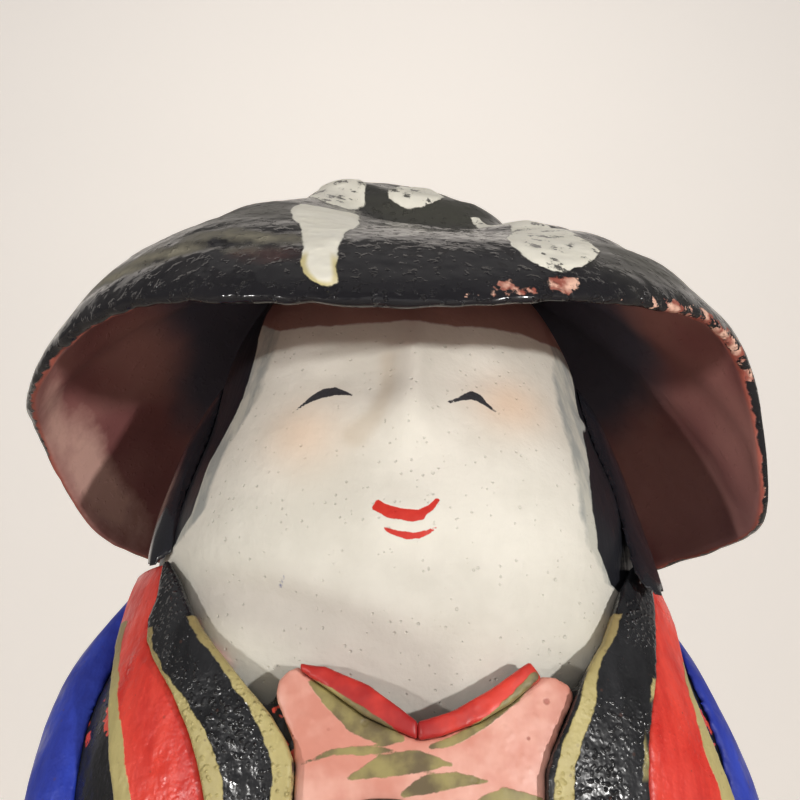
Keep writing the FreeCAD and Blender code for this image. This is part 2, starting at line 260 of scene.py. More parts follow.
pits, given, out = new_group("pits", {"Vector": None, "Scale": 420.0, "Share": 0.3, "Size": 0.22}, ["Mask"])
cells = node(pits, "ShaderNodeTexVoronoi", {"Vector": given["Vector"], "Scale": given["Scale"]})
chosen = node(pits, "ShaderNodeSeparateColor", {0: cells.outputs["Color"]})
size = times(pits, given["Size"], chosen.outputs[1])
hole = node(pits, "ShaderNodeMapRange", {
    0: cells.outputs["Distance"], 1: times(pits, size, 0.5), 2: size, 3: 1.0, 4: 0.0}).outputs[0]
rare = calc(pits, "LESS_THAN", chosen.outputs[0], given["Share"])
pits.links.new(times(pits, hole, rare), out["Mask"])

brush_streaks, given, out = new_group("brush streaks", {
    "Vector": None, "Scale": 300.0, "Length": 6.0}, ["Value"])
stretch = node(brush_streaks, "ShaderNodeCombineXYZ", {
    0: 1.0, 1: 1.0, 2: calc(brush_streaks, "DIVIDE", 1.0, given["Length"])})
drawn = node(brush_streaks, "ShaderNodeVectorMath", {0: given["Vector"], 1: stretch.outputs[0]},
             operation="MULTIPLY")
brush_streaks.links.new(grain(brush_streaks, drawn.outputs[0], given["Scale"], 4.0, 0.6), out["Value"])

lacquer_lumps, given, out = new_group("lacquer lumps", {
    "Vector": None, "Scale": 260.0, "Fine": 0.35}, ["Height"])
broad = grain(lacquer_lumps, given["Vector"], given["Scale"], 2.0, 0.5)
beads = node(lacquer_lumps, "ShaderNodeTexVoronoi", {
    "Vector": given["Vector"], "Scale": times(lacquer_lumps, given["Scale"], 2.6)},
    feature="SMOOTH_F1")
domed = between(lacquer_lumps, beads.outputs["Distance"], 0.0, 0.45, 1.0, 0.0)
bead_height = times(lacquer_lumps, domed, given["Fine"])
lacquer_lumps.links.new(calc(lacquer_lumps, "ADD", broad, bead_height), out["Height"])

dust_and_sheen_film, given, out = new_group("dust and sheen film", {"Vector": None, "Scale": 120.0, "Amount": 0.5}, ["Mask"])
# Dust and painted sheen: faces that look upwards are lightened in noisy patches.
up = node(dust_and_sheen_film, "ShaderNodeSeparateXYZ", {0: node(dust_and_sheen_film, "ShaderNodeNewGeometry").outputs["Normal"]})
lying = between(dust_and_sheen_film, up.outputs[2], 0.35, 1.0)
cloud = between(dust_and_sheen_film, grain(dust_and_sheen_film, given["Vector"], given["Scale"], 5.0, 0.65), 0.42, 0.75)
dust_and_sheen_film.links.new(times(dust_and_sheen_film, times(dust_and_sheen_film, lying, cloud), given["Amount"]),
                    out["Mask"])
print("groups:", [g.name for g in bpy.data.node_groups])

# %% [markdown]
# ## Reading shapes off the frame
#
# The hat and the head are round, so each is laid as a net of quads: rays are sent at the CAD surface
# from outside, ring by ring, and the net is smoothed before it is sculpted. The net is finer in
# front, where the painting is. The strips and shells of paper have edges all round, so they are
# recast instead: a copy of the CAD piece is remeshed evenly and its corners are softened as wet paper
# would be.


# %% Casting helpers
def surface_of(*nodes):
    """A search tree over the joined surfaces of CAD nodes."""
    points, faces = [], []
    for name in nodes:
        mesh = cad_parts[name].data
        base = len(points)
        points += [v.co.copy() for v in mesh.vertices]
        faces += [[base + i for i in p.vertices] for p in mesh.polygons]
    return BVHTree.FromPolygons(points, faces)


def uneven_turn(columns, share_in_front, half_front):
    """Angles once round, from the back, with more than their share within half_front of the front."""
    front = int(columns * share_in_front)
    behind = columns - front
    first = np.linspace(-math.pi, -half_front, behind // 2, endpoint=False)
    middle = np.linspace(-half_front, half_front, front, endpoint=False)
    last = np.linspace(half_front, math.pi, behind - behind // 2, endpoint=False)
    return np.concatenate([first, middle, last])


def ray_radius(tree, centre, turns, rises, reach, inward=True):
    """Distance from a centre to a surface, for each rise (rows) and turn (columns)."""
    found = np.full(rises.shape, np.nan)
    for i in range(rises.shape[0]):
        for k, turn in enumerate(turns):
            e = rises[i, k]
            way = Vector((math.sin(turn) * math.cos(e), -math.cos(turn) * math.cos(e), math.sin(e)))
            start, heading = (centre + way * reach, -way) if inward else (centre, way)
            hit = tree.ray_cast(start, heading, reach)[0]
            if hit is not None:
                found[i, k] = (hit - centre).length
    for i in range(found.shape[0]):
        row = found[i]
        empty = np.isnan(row)
        if empty.all():
            found[i] = found[i - 1]
        elif empty.any():
            row[empty] = np.interp(turns[empty], turns[~empty], row[~empty], period=2 * math.pi)
    return found


def soften(grid, times):
    """Evens out small facets in a grid of values that closes on itself along its columns."""
    for _ in range(times):
        grid = 0.25 * np.roll(grid, 1, 1) + 0.5 * grid + 0.25 * np.roll(grid, -1, 1)
        grid[1:-1] = 0.25 * grid[:-2] + 0.5 * grid[1:-1] + 0.25 * grid[2:]
    return grid


def net(name, rows, first_pole, last_pole):
    """A closed net of quads from rings of points with a pole at each end, wound so that faces look out."""
    count, around = rows.shape[:2]
    points = [tuple(p) for p in rows.reshape(-1, 3)] + [tuple(first_pole), tuple(last_pole)]
    faces = []
    for i in range(count - 1):
        for k in range(around):
            n = (k + 1) % around
            faces.append((i * around + k, i * around + n, (i + 1) * around + n, (i + 1) * around + k))
    low, high = count * around, count * around + 1
    for k in range(around):
        n = (k + 1) % around
        faces.append((low, n, k))
        faces.append((high, (count - 1) * around + k, (count - 1) * around + n))
    mesh = bpy.data.meshes.new(name)
    mesh.from_pydata(points, [], faces)
    mesh.shade_smooth()
    made = bpy.data.objects.new(name, mesh)
    bpy.context.scene.collection.objects.link(made)
    return made


def mark(piece, name, values):
    """Stores one value per point under a name that a material can read."""
    layer = piece.data.attributes.new(name, "FLOAT", "POINT")
    layer.data.foreach_set("value", np.asarray(values, np.float32))


def points_of(piece):
    flat = np.zeros(len(piece.data.vertices) * 3, np.float32)
    piece.data.vertices.foreach_get("co", flat)
    return flat.reshape(-1, 3).astype(float)


# %% Casting a copy of a paper piece
def recast(name, nodes, grain_size, softening):
    """An evenly meshed copy of CAD nodes with softened edges."""
    bm = bmesh.new()
    for source in nodes:
        bm.from_mesh(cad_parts[source].data)
    bmesh.ops.remove_doubles(bm, verts=bm.verts, dist=1e-6)
    mesh = bpy.data.meshes.new(name)
    bm.to_mesh(mesh)
    bm.free()
    rough = bpy.data.objects.new(name + " rough", mesh)
    bpy.context.scene.collection.objects.link(rough)
    remesh = rough.modifiers.new("even", "REMESH")
    remesh.mode = "VOXEL"
    remesh.voxel_size = grain_size
    smooth = rough.modifiers.new("soften", "SMOOTH")
    smooth.factor = 0.5
    smooth.iterations = softening
    done = plain_copy(rough, name)
    bpy.data.objects.remove(rough)
    return done


def plain_copy(source, name):
    """The evaluated object as a plain mesh object, modifiers gone."""
    graph = bpy.context.evaluated_depsgraph_get()
    mesh = bpy.data.meshes.new_from_object(source.evaluated_get(graph))
    mesh.name = name
    mesh.shade_smooth()
    made = bpy.data.objects.new(name, mesh)
    bpy.context.scene.collection.objects.link(made)
    return made


# %% [markdown]
# ## The lumpy paper surface
#
# Pasted paper is never smooth. A Geometry Nodes tree moves every point along its normal by two
# noises, one broad for the paper's dents and one finer for the ground's brush ridges. The tree has a
# named input for each size, so each piece gets its own measure of lumps from the same rule.

# %% A tree that makes a surface lumpy
lumpy_tree = bpy.data.node_groups.new("lumpy paper", "GeometryNodeTree")
for label, kind, value in [
    ("Geometry", "NodeSocketGeometry", None), ("Dent Depth", "NodeSocketFloat", 0.0004),
    ("Dent Scale", "NodeSocketFloat", 90.0), ("Ridge Depth", "NodeSocketFloat", 0.0001),
    ("Ridge Scale", "NodeSocketFloat", 420.0), ("Seed", "NodeSocketFloat", 0.0),
    ("Paint", "NodeSocketMaterial", None),
]:
    socket = lumpy_tree.interface.new_socket(label, in_out="INPUT", socket_type=kind)
    if value is not None:
        socket.default_value = value
lumpy_tree.interface.new_socket("Geometry", in_out="OUTPUT", socket_type="NodeSocketGeometry")
given = lumpy_tree.nodes.new("NodeGroupInput").outputs
where = lumpy_tree.nodes.new("GeometryNodeInputPosition").outputs[0]
outwards = lumpy_tree.nodes.new("GeometryNodeInputNormal").outputs[0]


def noise_offset(depth, scale):
    inputs = {"Vector": where, "W": given["Seed"], "Scale": scale, "Detail": 2.0}
    value = node(lumpy_tree, "ShaderNodeTexNoise", inputs, noise_dimensions="4D").outputs["Fac"]
    centred = calc(lumpy_tree, "SUBTRACT", value, 0.5)
    return times(lumpy_tree, centred, depth)


both = calc(lumpy_tree, "ADD", noise_offset(given["Dent Depth"], given["Dent Scale"]),
            noise_offset(given["Ridge Depth"], given["Ridge Scale"]))
push = node(lumpy_tree, "ShaderNodeVectorMath", {0: outwards, "Scale": both}, operation="SCALE").outputs[0]
shifted = node(lumpy_tree, "GeometryNodeSetPosition", {"Geometry": given["Geometry"], "Offset": push})
real = node(lumpy_tree, "GeometryNodeRealizeInstances", {"Geometry": shifted.outputs[0]})
coated = node(lumpy_tree, "GeometryNodeSetMaterial", {
    "Geometry": real.outputs[0], "Material": given["Paint"]})
lumpy_tree.links.new(coated.outputs[0], lumpy_tree.nodes.new("NodeGroupOutput").inputs["Geometry"])


def make_lumpy(piece, paint, dent=0.4, dent_scale=90.0, ridge=0.1, ridge_scale=420.0, seed=0.0):
    """Gives a piece its paint and its lumps, with depths in millimetres."""
    modifier = piece.modifiers.new("lumpy", "NODES")
    modifier.node_group = lumpy_tree
    sizes = {"Dent Depth": dent * MM, "Dent Scale": dent_scale, "Ridge Depth": ridge * MM,
             "Ridge Scale": ridge_scale, "Seed": seed, "Paint": paint}
    for item in lumpy_tree.interface.items_tree:
        if item.in_out == "INPUT" and item.name in sizes:
            modifier[item.identifier] = sizes[item.name]
    name = piece.name
    piece.name = name + " plain"
    done = plain_copy(piece, name)
    bpy.data.objects.remove(piece)
    return done


print("lumpy paper takes:", [i.name for i in lumpy_tree.interface.items_tree if i.in_out == "INPUT"])

# %% [markdown]
# ## The hat
#
# The hat is one bowl of pasted paper: a wide brim pressed down unevenly and a raised crown. Its
# outside is thick glossy black, which wraps over the raw rim, and its inside a matt reddish brown.
# Both sides are one closed net here, so the rim is a true edge. Each point stores how far it lies
# from the rim, measured over the surface, which places the paint.

# %% Cast the hat
HAT_CENTRE = Vector((-0.001, 0, 0.127))
HAT_RADIUS, LINING_RADIUS = 0.0552, 0.0536
RIM_WIDTH, RIM_ROLL = 0.0016, 0.35 * MM
RIM_STARTS = 0.05505  # frame points farther out than this are on the rim
hat_turns = uneven_turn(400, 0.56, math.radians(62))
outer_tree = surface_of("hat_shell")
inner_tree = surface_of("hat_lining")
rim_points = np.array([v.co - HAT_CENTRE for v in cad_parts["hat_shell"].data.vertices])
rim_points = rim_points[np.hypot(rim_points[:, 0], rim_points[:, 1]) > RIM_STARTS]
rim_turn = np.arctan2(rim_points[:, 0], -rim_points[:, 1])
order = np.argsort(rim_turn)
rim_height = np.interp(hat_turns, rim_turn[order], rim_points[order, 2], period=2 * math.pi)
for _ in range(8):
    rim_height = 0.25 * np.roll(rim_height, 1) + 0.5 * rim_height + 0.25 * np.roll(rim_height, -1)
rim_levels = [round((float(h) + HAT_CENTRE.z) / MM, 1) for h in (rim_height.min(), rim_height.max())]
print("rim height from", rim_levels[0], "to", rim_levels[1], "mm")

OUTER_ROWS, INNER_ROWS = 120, 64
share = np.linspace(0, 1, OUTER_ROWS)[:, None]
outer_rise = (np.arctan2(rim_height, HAT_RADIUS) + 0.012) * (1 - share) + math.radians(89.0) * share
outer_radius = soften(ray_radius(outer_tree, HAT_CENTRE, hat_turns, outer_rise, 0.09), 2)
share = np.linspace(0, 1, INNER_ROWS)[:, None]
inner_rise = (np.arctan2(rim_height, LINING_RADIUS) + 0.02) * (1 - share) + math.radians(88.0) * share
inner_radius = soften(ray_radius(inner_tree, HAT_CENTRE, hat_turns, inner_rise, 0.09, False), 2)


def from_polar(radius, rise, turns, centre):
    x = radius * np.cos(rise) * np.sin(turns)
    y = -radius * np.cos(rise) * np.cos(turns)
    return np.stack([x + centre.x, y + centre.y, radius * np.sin(rise) + centre.z], -1)


outer_rows = from_polar(outer_radius, outer_rise, hat_turns, HAT_CENTRE)
inner_rows = from_polar(inner_radius, inner_rise, hat_turns, HAT_CENTRE)
rim_rows = []
for part in (0.12, 0.4, 0.7, 0.92):
    drop = RIM_ROLL * math.sin(math.pi * part)
    radius = HAT_RADIUS - RIM_WIDTH * part
    rim_rows.append(np.stack([radius * np.sin(hat_turns) + HAT_CENTRE.x, -radius * np.cos(hat_turns),
                              rim_height + HAT_CENTRE.z - drop], -1))
hat_rows = np.concatenate([outer_rows[::-1], np.array(rim_rows), inner_rows])
steps = np.linalg.norm(np.diff(hat_rows, axis=0), axis=2)
along = np.concatenate([np.zeros((1, len(hat_turns))), np.cumsum(steps, 0)])
from_rim = (along[OUTER_ROWS + 1] - along) * 1000
hat = net("hat", hat_rows, hat_rows[0].mean(0), hat_rows[-1].mean(0))
print("hat net:", len(hat.data.vertices), "points; meridian", round(float(from_rim.max()), 1), "mm")

# %% [markdown]
# White paint was laid on the black with a loaded brush, in strokes that run from the crown towards
# the rim and end in a drip. A stroke is a list of places: distance from the rim, angle from the front
# and half width.


# %% White strokes, chips and folds on the hat
def radial_stroke(places):
    """Distance in millimetres to the edge of a stroke that runs up the hat, less than zero inside."""
    reach, turn, half = np.array(places, float).T
    middle = np.interp(from_rim, reach, np.radians(turn))
    width = np.interp(from_rim, reach, half)
    level = np.hypot(hat_rows[..., 0] - HAT_CENTRE.x, hat_rows[..., 1]) * 1000
    sideways = np.abs((hat_turns[None, :] - middle + math.pi) % (2 * math.pi) - math.pi) * level - width
    ends = np.maximum(reach[0] - from_rim, from_rim - reach[-1])
    return np.maximum(sideways, ends)


WHITE_STROKES = [
    [(2.4, -7.4, 0.4), (3.0, -7.5, 1.3), (4.2, -8.0, 1.9), (6, -8.6, 2.1), (9, -9.0, 2.0), (12, -9.4, 2.3),
     (17, -10.2, 2.7), (20, -10.8, 3.7), (24, -12.0, 4.5), (29, -13.8, 4.6), (32, -14.8, 4.5),
     (34.5, -15.4, 4.0)],
    [(41, -20, 1.0), (44, -22, 3.4), (49, -24, 4.6), (55, -27, 4.4), (61, -32, 2.6)],
    [(4.6, 20.5, 0.6), (5.6, 21.4, 2.8), (8, 22.4, 4.8), (11, 23.4, 6.1), (16, 25, 6.2), (20, 26.6, 5.2),
     (24, 28.6, 3.8), (30, 31, 2.3), (38, 33, 1.4), (46, 34, 0.8)],
    [(50, 9, 1.2), (52, 10, 4.2), (56, 13, 5.0), (62, 16, 3.2)],
    [(14, -78, 0.8), (17, -79, 2.6), (25, -81, 3.4), (36, -83, 2.7), (50, -86, 3.2), (57, -89, 2.2),
     (63, -91, 0.6)],
    [(20, 92, 0.6), (24, 91, 2.6), (32, 88, 3.2), (44, 86, 2.6), (54, 84, 3.0), (62, 83, 0.8)],
    [(10, 152, 0.6), (13, 151, 2.4), (20, 150, 3.4), (32, 148, 2.8), (46, 146, 3.4), (56, 145, 2.2),
     (63, 144, 0.6)],
    [(18, -148, 0.6), (22, -148, 2.8), (30, -150, 3.6), (42, -152, 2.6), (52, -154, 3.0), (61, -156, 0.8)],
]
white = np.min([radial_stroke(s) for s in WHITE_STROKES], axis=0)
thick_stroke = radial_stroke(WHITE_STROKES[0])


def spot(turn, reach, wide, high):
    """Distance to the edge of a rough oval on the hat, in millimetres."""
    level = np.hypot(hat_rows[..., 0] - HAT_CENTRE.x, hat_rows[..., 1]) * 1000
    across = ((hat_turns[None, :] - math.radians(turn) + math.pi) % (2 * math.pi) - math.pi) * level
    size = np.hypot(across / wide, (from_rim - reach) / high)
    return (size - 1) * min(wide, high)


CHIPS = [(20.5, 2.4, 1.9, 1.3), (13.0, 2.8, 1.2, 0.5), (15, 1.6, 2.4, 0.35)]
RIM_WEAR = [(-180, 0.3), (-150, 0.2), (-120, 0.4), (-90, 0.3), (-60, 0.25), (-30, 0.1), (0, 0.15), (8, 0.35),
            (25, 0.4), (33, 0.6), (38, 0.95), (52, 1.0), (60, 0.7), (68, 0.35), (78, 0.6), (90, 0.3),
            (125, 0.45), (150, 0.2)]
BLACK_WRAP = [(-180, 0.5), (-125, 0.3), (-108, -0.6), (-94, -0.3), (-80, 0.1), (-60, 0.2), (-42, 0.6),
              (-20, 1.0), (25, 1.0), (40, 0.5), (60, 0.3), (85, 0.3), (100, 0.4), (150, 0.7)]


def round_the_rim(table):
    """Values read from a table of (angle from the front, value), one for each column of the net."""
    return np.interp(np.degrees(hat_turns), *np.array(table).T, period=360)[None, :]


black_reach = from_rim + round_the_rim(BLACK_WRAP)
rim_wear = round_the_rim(RIM_WEAR) * np.ones_like(from_rim)
chips = np.min([spot(*c) for c in CHIPS], axis=0)
yellow_drip = spot(-9.2, 5.2, 3.2, 3.6)
dusty_fold = np.min([spot(-33, 9.5, 6.5, 1.0), spot(-22, 13, 6.0, 1.0), spot(-40, 7.5, 4.5, 0.8)], axis=0)
# Grey patches on the hat's top: dust, and also painted sheen on the black.
dust_and_sheen_back = np.min([spot(-32, 26, 16, 9), spot(22, 50, 13, 9), spot(39, 11, 9, 6)], axis=0)
faded_red = spot(-16, 8.5, 3.6, 1.4)
# A painted pool of light low on the inside of the hat at the left.
painted_light_patch = np.minimum(spot(-104, -5.5, 13, 4.5), spot(-86, -3.5, 8, 2.5))

fold = np.exp(-((from_rim - (5.5 + 0.22 * (np.degrees(hat_turns)[None, :] + 46))) / 1.3) ** 2)
fold *= np.exp(-((np.degrees(hat_turns)[None, :] + 30) / 17) ** 2)
swell = np.exp(-((from_rim - 3.0) / 2.2) ** 2) * (from_rim > 0)
LUMPS = [(-68, 15, 5, 1.6), (-58, 25, 6, 1.8), (-48, 33, 5, 1.6), (46, 22, 5, 1.6), (57, 14, 5, 1.5),
         (38, 30, 4, 1.6), (120, 22, 6, 2.0), (165, 30, 7, 2.0), (-130, 20, 6, 2.0), (-160, 36, 6, 2.0)]
knobs = np.max([np.exp(-(np.clip(spot(*lump), 0, None) / 2.2) ** 2) for lump in LUMPS], axis=0)
raised = 0.7 * knobs + 0.28 * np.clip(-white / 0.8, 0, 1) - 0.5 * fold + 0.25 * swell
raised -= 0.18 * np.clip(-chips / 0.5, 0, 1)
inner_folds = np.where(from_rim < -2, np.sin(hat_turns * 15 + np.sin(hat_turns * 5) * 2)[None, :], 0)
inner_folds *= np.clip((-2 - from_rim) / 6, 0, 1)
centre = np.array(HAT_CENTRE) + np.array([0, 0, 0.02])
outwards_way = hat_rows - centre
outwards_way /= np.linalg.norm(outwards_way, axis=2, keepdims=True)
moved_rows = hat_rows + outwards_way * ((raised + inner_folds * 0.6) * MM)[..., None]
hat_points = points_of(hat)
hat_points[: moved_rows.size // 3] = moved_rows.reshape(-1, 3)
hat.data.vertices.foreach_set("co", hat_points.astype(np.float32).ravel())
for label, field in [("from_rim", from_rim), ("white_stroke", white), ("chip", chips),
                     ("rim_wear", rim_wear), ("black_reach", black_reach), ("thick_stroke", thick_stroke),
                     ("yellow_drip", yellow_drip), ("dusty_fold", dusty_fold), ("dust_and_sheen_back", dust_and_sheen_back),
                     ("faded_red", faded_red), ("painted_light_patch", painted_light_patch)]:
    flat = field.ravel()
    mark(hat, label, np.concatenate([flat, [flat[0], flat[-1]]]))
print("white strokes:", len(WHITE_STROKES), "chips:", len(CHIPS))

# %% [markdown]
# The hat's paint is one material with several coats: reddish brown first, black over the outside and
# round the rim, white on top of the black, and chips that show the salmon red ground again. Grey dust
# on the black's upper faces also stands in for painted sheen, a pale patch low inside is a painted pool
# of light, and deep under the crown the lining is painted darker, partly as painted shade. Thick black
# paint is very smooth and catches small bright points on its lumps; the inside soaks up its paint and
# stays matt.

# %% Paint for the hat
hat_paint, tree, shader = new_material("hat paint")
at = place(tree)
black_cover = use(tree, ragged_edge, Vector=at, Distance=times(tree, painted(tree, "black_reach"), -1.0),
                  Wobble=0.9, Scale=420.0, Softness=0.15)
chip_mask = ragged(tree, at, "chip", 1.3, 900.0, 0.1)
off_rim = calc(tree, "ABSOLUTE", calc(tree, "SUBTRACT", painted(tree, "from_rim"), 0.7))
rim_band = between(tree, off_rim, 0.9, 2.0, 1.0, 0.0)
worn_rim = times(tree, painted(tree, "rim_wear"), rim_band)
crumbs = calc(tree, "ADD", times(tree, grain(tree, at, 330.0, 5.0, 0.72), 0.75), times(tree, worn_rim, 0.25))
rim_chips = between(tree, crumbs, 0.592, 0.604)
rim_chips = times(tree, rim_chips, rim_band)
chip_mask = calc(tree, "MAXIMUM", chip_mask, rim_chips)
white_mask = ragged(tree, at, "white_stroke", 0.7, 330.0, 0.1)
holes = between(tree, grain(tree, at, 420.0, 5.0, 0.7), 0.57, 0.62)
holes = times(tree, holes, between(tree, painted(tree, "thick_stroke"), 0.3, 0.8))
white_mask = times(tree, white_mask, calc(tree, "SUBTRACT", 1.0, times(tree, holes, 0.9)))
fold_dust = ragged(tree, at, "dusty_fold", 2.6, 260.0, 1.2)
# Dust on the black that also stands in for painted sheen: grey patches on top and a film on upward faces.
back_dust_and_sheen = ragged(tree, at, "dust_and_sheen_back", 8.0, 160.0, 5.0)
dust_and_sheen_coat = use(tree, dust_and_sheen_film, Vector=at, Scale=150.0, Amount=0.14)
red_wear = ragged(tree, at, "faded_red", 1.8, 350.0, 1.0)
mottle = grain(tree, at, 90.0, 4.0, 0.6)
# Painted light: a pale pink pool on the lining where the lamp shines in low at the left.
painted_light_spot = ragged(tree, at, "painted_light_patch", 3.0, 160.0, 1.6)
lining = blend(tree, mottle, colour(150, 100, 94), colour(184, 132, 124))
lining = blend(tree, between(tree, grain(tree, at, 45.0, 2.0), 0.42, 0.7), lining, colour(134, 82, 80))
lining = blend(tree, times(tree, painted_light_spot, 0.9), lining, colour(222, 178, 164))
# Deep under the crown the lining is painted dark grey, partly its own darker paint, partly painted shade.
depth_inside = calc(tree, "MULTIPLY_ADD", grain(tree, at, 60.0, 3.0), 12.0, painted(tree, "from_rim"))
dark_paint_and_shade = between(tree, depth_inside, -26.0, -14.0, 1.0, 0.0)
lining = blend(tree, dark_paint_and_shade, lining, colour(84, 80, 92))
black = blend(tree, mottle, colour(22, 22, 26), colour(38, 37, 41))
black = blend(tree, times(tree, back_dust_and_sheen, 0.5), black, colour(86, 86, 76))
black = blend(tree, dust_and_sheen_coat, black, colour(104, 102, 94))
black = blend(tree, times(tree, fold_dust, 0.75), black, colour(150, 145, 128))
black = blend(tree, times(tree, red_wear, 0.5), black, colour(84, 50, 46))
cream = blend(tree, grain(tree, at, 240.0, 4.0), colour(232, 228, 212), colour(250, 248, 238))
drip = between(tree, painted(tree, "yellow_drip"), -0.6, 1.2, 1.0, 0.0)
drip = times(tree, drip, between(tree, painted(tree, "white_stroke"), -1.0, -0.2))
drip = times(tree, drip, between(tree, painted(tree, "from_rim"), 12.0, 8.0))
cream = blend(tree, drip, cream, colour(214, 202, 150))
outside = blend(tree, white_mask, black, cream)
raw = between(tree, grain(tree, at, 520.0, 4.0), 0.38, 0.6)
raw = blend(tree, raw, colour(150, 82, 70), colour(234, 190, 170))
outside = blend(tree, chip_mask, outside, raw)
at_edge = between(tree, calc(tree, "ABSOLUTE", painted(tree, "black_reach")), 0.15, 0.8, 1.0, 0.0)
inside = blend(tree, times(tree, at_edge, 0.8), lining, colour(176, 92, 76))
tree.links.new(blend(tree, black_cover, inside, outside), shader.inputs["Base Color"])
paint_rough = blend_value(tree, white_mask, 0.12, 0.42)
paint_rough = blend_value(tree, calc(tree, "MAXIMUM", times(tree, back_dust_and_sheen, 0.7), dust_and_sheen_coat), paint_rough, 0.6)
paint_rough = blend_value(tree, calc(tree, "MAXIMUM", chip_mask, fold_dust), paint_rough, 0.7)
tree.links.new(blend_value(tree, black_cover, 0.78, paint_rough), shader.inputs["Roughness"])
shader.inputs["Specular IOR Level"].default_value = 0.3
lumps = use(tree, lacquer_lumps, Vector=at, Scale=200.0, Fine=0.12)
fine_lumps = between(tree, grain(tree, at, 850.0, 2.0, 0.5), 0.56, 0.74)
fine_lumps = times(tree, fine_lumps, calc(tree, "SUBTRACT", 1.0, white_mask))
lumps = calc(tree, "MULTIPLY_ADD", fine_lumps, 0.5, lumps)
relief = times(tree, lumps, blend_value(tree, black_cover, 0.25, 1.0))
relief = calc(tree, "MULTIPLY_ADD", white_mask, 0.5, relief)
relief = calc(tree, "MULTIPLY_ADD", chip_mask, -0.5, relief)
bump = node(tree, "ShaderNodeBump", {"Height": relief, "Distance": 0.0006, "Strength": 0.8})
tree.links.new(bump.outputs[0], shader.inputs["Normal"])
hat = make_lumpy(hat, hat_paint, dent=1.3, dent_scale=62.0, ridge=0.36, ridge_scale=280.0, seed=3.0)
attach(hat, "root")
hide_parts("hat_shell", "hat_lining")
print("hat painted:", len(hat.data.polygons), "faces")

# %% [markdown]
# ## The head
#
# The head is a rounded egg with the softest of features: a ridge for the nose, full cheeks and a
# small chin. Everything else is drawn. The net is cast from the two head shells together and then
# pushed out here and there, because the ground was built up with the brush, not carved.

# %% Cast and model the head
HEAD_CENTRE = Vector((0, 0, 0.125))
head_turns = uneven_turn(330, 0.66, math.radians(66))
head_tree = surface_of("face_shell", "hair_shell")
HEAD_ROWS = 250
head_rise = np.linspace(math.radians(-49), math.radians(88), HEAD_ROWS)[:, None]
head_rise = head_rise * np.ones((1, len(head_turns)))
cast_rows = head_rise[:, 0] < math.radians(74)
head_radius = np.zeros_like(head_rise)
head_radius[cast_rows] = ray_radius(head_tree, HEAD_CENTRE, head_turns, head_rise[cast_rows], 0.07)
top_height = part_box("face_shell")[1].z - HEAD_CENTRE.z
flat_top = top_height / np.sin(head_rise[~cast_rows])
head_radius[~cast_rows] = np.minimum(head_radius[cast_rows][-1][None, :], flat_top)
head_radius = soften(head_radius, 5)
head_rows = from_polar(head_radius, head_rise, head_turns, HEAD_CENTRE)
x, y, z = (head_rows[..., i] * 1000 for i in range(3))


def mound(cx, cz, wide, high, turn=0.0):
    """A soft oval swelling on the front of the head, 1 at its middle."""
    c, s = math.cos(math.radians(turn)), math.sin(math.radians(turn))
    u = (x - cx) * c + (z - cz) * s
    v = -(x - cx) * s + (z - cz) * c
    return np.exp(-(u / wide) ** 2 - (v / high) ** 2) * (y < 0)


nose = 1.7 * mound(1.8, 144.5, 2.3, 8.0) + 1.8 * mound(0.8, 135.8, 3.6, 4.0)
cheeks = 1.0 * mound(-15, 129, 8, 9) + 0.9 * mound(16, 130, 8, 9)
hollows = -0.9 * mound(-8, 143, 5, 4) - 0.7 * mound(10, 143.5, 5, 4) - 1.1 * mound(-16, 113, 12, 2.6, -16)
filled = 1.8 * mound(24, 107, 5, 7) + 1.5 * mound(-22, 107, 5, 7)
mouth_swell = 0.7 * mound(0.5, 122.5, 6, 3.5) + 1.2 * mound(1, 111.5, 10, 4.5)
blob = 0.4 * mound(25.6, 139.4, 0.9, 1.3)
head_rows += (head_rows - np.array(HEAD_CENTRE)) / head_radius[..., None] * (
    (nose + cheeks + hollows + filled + mouth_swell + blob) * MM)[..., None]
x, y, z = (head_rows[..., i] * 1000 for i in range(3))
bottom_pole = np.array([0, 0, head_rows[0, :, 2].mean()])
head = net("head", head_rows[::-1], head_rows[-1].mean(0), bottom_pole)
print("head net:", len(head.data.vertices), "points")


# %% [markdown]
# Eyes and lips are drawn with a few strokes of a pointed brush. A stroke is a line of points in the
# front view with a half width at each, and a lip is a closed outline. The distance to each is stored
# on the net.

# %% Drawn lines and outlines
def stroke_distance(px, pz, places):
    """Distance to a stroke of changing width, less than zero inside. Places are (x, z, half width)."""
    best = np.full(px.shape, 1e3)
    for (ax, az, aw), (bx, bz, bw) in zip(places, places[1:]):
        length = (bx - ax) ** 2 + (bz - az) ** 2
        t = np.clip(((px - ax) * (bx - ax) + (pz - az) * (bz - az)) / length, 0, 1)
        gap = np.hypot(px - ax - t * (bx - ax), pz - az - t * (bz - az)) - (aw + t * (bw - aw))
        best = np.minimum(best, gap)
    return best


def outline_distance(px, pz, corners):
    """Distance to a closed outline, less than zero inside."""
    best, inside = np.full(px.shape, 1e3), np.zeros(px.shape, bool)
    for (ax, az), (bx, bz) in zip(corners, corners[1:] + corners[:1]):
        length = (bx - ax) ** 2 + (bz - az) ** 2
        t = np.clip(((px - ax) * (bx - ax) + (pz - az) * (bz - az)) / length, 0, 1)
        best = np.minimum(best, np.hypot(px - ax - t * (bx - ax), pz - az - t * (bz - az)))
        if az != bz:
            inside ^= ((az > pz) != (bz > pz)) & (px < (bx - ax) * (pz - az) / (bz - az) + ax)
    return np.where(inside, -best, best)


